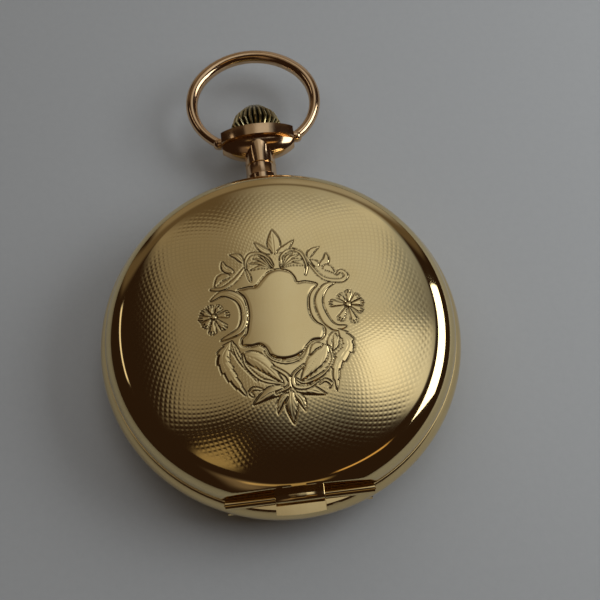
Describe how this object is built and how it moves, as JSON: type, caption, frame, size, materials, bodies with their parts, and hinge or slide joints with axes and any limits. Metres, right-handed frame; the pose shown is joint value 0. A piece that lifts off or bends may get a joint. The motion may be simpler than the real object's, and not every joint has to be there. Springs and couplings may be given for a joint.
{
  "type": "hunter pocket watch",
  "caption": "Closed hunter pocket watch with hinged front and back covers, crown in a bow, and a geared lever movement under a dial with sunk seconds.",
  "frame": {"origin": "middle of the flat on the back cover, on which the watch lies", "axes": "+Z out of the front cover, +Y from the movement's centre out through the pendant and crown, +X to the right seen from the front"},
  "size_m": [0.052, 0.0768, 0.014],
  "materials": {
    "yellow_gold": "polished gold alloy, standing in for gold",
    "rose_gold": "polished rose gold alloy",
    "gilt_brass": "gilt brass wheels",
    "nickel": "striped nickel plates",
    "polished_steel": "polished steel",
    "spring_steel": "tempered spring steel",
    "blued_steel": "heat-blued steel",
    "mineral_glass": "clear domed glass",
    "enamel": "white fired enamel",
    "ruby": "polished synthetic ruby"
  },
  "bodies": {
    "case": {"case_middle": "yellow_gold", "hinge_pins": "yellow_gold", "lid_lift_spring": "spring_steel", "lid_lock_spring": "spring_steel", "bezel": "yellow_gold", "crystal": "mineral_glass", "pendant": "rose_gold", "pendant_sleeve": "gilt_brass", "main_plate": "nickel", "barrel_bridge": "nickel", "train_bridge": "nickel", "balance_cock": "nickel", "pallet_cock": "nickel", "regulator": "polished_steel", "train_jewels": "ruby", "balance_jewels": "ruby", "crown_wheel_core": "polished_steel", "click_screw": "blued_steel", "click_spring": "spring_steel", "motion_posts": "polished_steel", "dial": "enamel", "seconds_dial": "enamel", "bridge_screws": "blued_steel", "case_screws": "blued_steel"},
    "front_lid": {"front_cover": "yellow_gold"},
    "back_lid": {"back_cover": "yellow_gold"},
    "inner_lid": {"cuvette": "yellow_gold"},
    "lid_latch": {"lid_catch": "polished_steel"},
    "bow_ring": {"bow": "rose_gold"},
    "winding": {"winding_pinion": "polished_steel"},
    "sliding": {"sliding_pinion": "polished_steel"},
    "crown_stem": {"crown": "gilt_brass", "winding_stem": "polished_steel"},
    "setting_arm": {"setting_lever": "polished_steel"},
    "yoke_arm": {"yoke": "polished_steel"},
    "crown_wheel_body": {"crown_wheel": "polished_steel"},
    "ratchet": {"ratchet_wheel": "polished_steel", "ratchet_screw": "blued_steel", "barrel_arbor": "polished_steel"},
    "click_pawl": {"click": "polished_steel"},
    "barrel_drum": {"barrel": "gilt_brass", "barrel_cover": "gilt_brass", "mainspring": "spring_steel"},
    "centre": {"centre_wheel": "gilt_brass", "cannon_pinion": "polished_steel", "minute_hand": "blued_steel"},
    "third": {"third_wheel": "gilt_brass"},
    "fourth": {"fourth_wheel": "gilt_brass", "seconds_hand": "blued_steel"},
    "escape": {"escape_wheel": "polished_steel"},
    "lever": {"pallet_fork": "polished_steel", "pallet_stones": "ruby"},
    "balance": {"balance_wheel": "gilt_brass", "balance_staff": "polished_steel", "hairspring": "blued_steel", "impulse_jewel": "ruby"},
    "minute_work": {"minute_wheel": "gilt_brass"},
    "hour_work": {"hour_wheel": "gilt_brass", "hour_hand": "blued_steel"},
    "setting_work": {"setting_wheel": "polished_steel"}
  },
  "joints": [
    {"name": "front_lid_hinge", "type": "hinge", "parent": "case", "child": "front_lid", "pos_m": [0, -0.0234, 0.0088], "axis": [1, 0, 0], "range_deg": [0, 95]},
    {"name": "back_lid_hinge", "type": "hinge", "parent": "case", "child": "back_lid", "pos_m": [0, -0.0234, 0.0042], "axis": [-1, 0, 0], "range_deg": [0, 110]},
    {"name": "inner_lid_hinge", "type": "hinge", "parent": "case", "child": "inner_lid", "pos_m": [0, -0.0234, 0.0042], "axis": [-1, 0, 0], "range_deg": [0, 82.5]},
    {"name": "latch_slide", "type": "slide", "parent": "case", "child": "lid_latch", "axis": [0, -1, 0], "range_m": [0, 0.0005], "stiffness_N_per_m": 300},
    {"name": "bow_swing", "type": "hinge", "parent": "case", "child": "bow_ring", "pos_m": [0, 0.0337, 0.0059], "axis": [1, 0, 0], "range_deg": [-138, 138]},
    {"name": "crown_turn", "type": "hinge", "parent": "case", "child": "winding", "pos_m": [0, 0, 0.0059], "axis": [0, 1, 0], "continuous": true},
    {"name": "sliding_pinion_shift", "type": "slide", "parent": "winding", "child": "sliding", "axis": [0, 1, 0], "range_m": [-0.00063, 0.00035]},
    {"name": "crown_pull", "type": "slide", "parent": "winding", "child": "crown_stem", "axis": [0, 1, 0], "range_m": [-0.0005, 0.0009]},
    {"name": "setting_lever_swing", "type": "hinge", "parent": "case", "child": "setting_arm", "pos_m": [-0.0042, 0.0183, 0.008], "axis": [0, 0, 1], "range_deg": [-7, 12.5]},
    {"name": "yoke_swing", "type": "hinge", "parent": "case", "child": "yoke_arm", "pos_m": [-0.0046, 0.01445, 0.008], "axis": [0, 0, 1], "range_deg": [-8, 4.5]},
    {"name": "crown_wheel_turn", "type": "hinge", "parent": "case", "child": "crown_wheel_body", "pos_m": [0, 0.01234, 0.0026], "axis": [0, 0, 1], "continuous": true},
    {"name": "ratchet_turn", "type": "hinge", "parent": "case", "child": "ratchet", "pos_m": [-0.00839, 0.00485, 0.0026], "axis": [0, 0, 1], "continuous": true},
    {"name": "click_lift", "type": "hinge", "parent": "case", "child": "click_pawl", "pos_m": [-0.01295, -0.00167, 0.0026], "axis": [0, 0, -1], "range_deg": [0, 10], "stiffness_Nm_per_rad": 0.00002},
    {"name": "centre_turn", "type": "hinge", "parent": "case", "child": "centre", "pos_m": [0, 0, 0.006], "axis": [0, 0, -1], "continuous": true},
    {"name": "barrel_turn", "type": "hinge", "parent": "case", "child": "barrel_drum", "pos_m": [-0.00839, 0.00485, 0.005], "axis": [0, 0, -1], "continuous": true},
    {"name": "third_turn", "type": "hinge", "parent": "case", "child": "third", "pos_m": [0.00608, 0.00464, 0.005], "axis": [0, 0, -1], "continuous": true},
    {"name": "fourth_turn", "type": "hinge", "parent": "case", "child": "fourth", "pos_m": [0.0098, 0, 0.005], "axis": [0, 0, -1], "continuous": true},
    {"name": "escape_turn", "type": "hinge", "parent": "case", "child": "escape", "pos_m": [0.00702, -0.00396, 0.005], "axis": [0, 0, -1], "continuous": true},
    {"name": "lever_rock", "type": "hinge", "parent": "case", "child": "lever", "pos_m": [0.00516, -0.00663, 0.0054], "axis": [0, 0, -1], "range_deg": [-5, 5]},
    {"name": "balance_swing", "type": "hinge", "parent": "case", "child": "balance", "pos_m": [0.00175, -0.0115, 0.004], "axis": [0, 0, -1], "range_deg": [-150, 150]},
    {"name": "minute_work_turn", "type": "hinge", "parent": "case", "child": "minute_work", "pos_m": [0, 0.00384, 0.008], "axis": [0, 0, -1], "continuous": true},
    {"name": "hour_work_turn", "type": "hinge", "parent": "case", "child": "hour_work", "pos_m": [0, 0, 0.0083], "axis": [0, 0, -1], "continuous": true},
    {"name": "setting_work_turn", "type": "hinge", "parent": "case", "child": "setting_work", "pos_m": [0, 0.00992, 0.0078], "axis": [0, 0, -1], "continuous": true}
  ],
  "couplings": [
    {"joint": "inner_lid_hinge", "follows": "back_lid_hinge", "ratio": 0.75},
    {"joint": "sliding_pinion_shift", "follows": "crown_pull", "ratio": -0.7},
    {"joint": "setting_lever_swing", "follows": "crown_pull", "rad_per_m": 238.1},
    {"joint": "yoke_swing", "follows": "crown_pull", "rad_per_m": -152.17},
    {"joint": "crown_wheel_turn", "follows": "crown_turn", "ratio": 0.47619},
    {"joint": "ratchet_turn", "follows": "crown_turn", "ratio": -0.41667},
    {"joint": "barrel_turn", "follows": "centre_turn", "ratio": -0.13333},
    {"joint": "third_turn", "follows": "centre_turn", "ratio": -8},
    {"joint": "fourth_turn", "follows": "centre_turn", "ratio": 60},
    {"joint": "escape_turn", "follows": "centre_turn", "ratio": -600},
    {"joint": "minute_work_turn", "follows": "centre_turn", "ratio": -0.33333},
    {"joint": "hour_work_turn", "follows": "centre_turn", "ratio": 0.083333},
    {"joint": "setting_work_turn", "follows": "centre_turn", "ratio": 0.3}
  ]
}
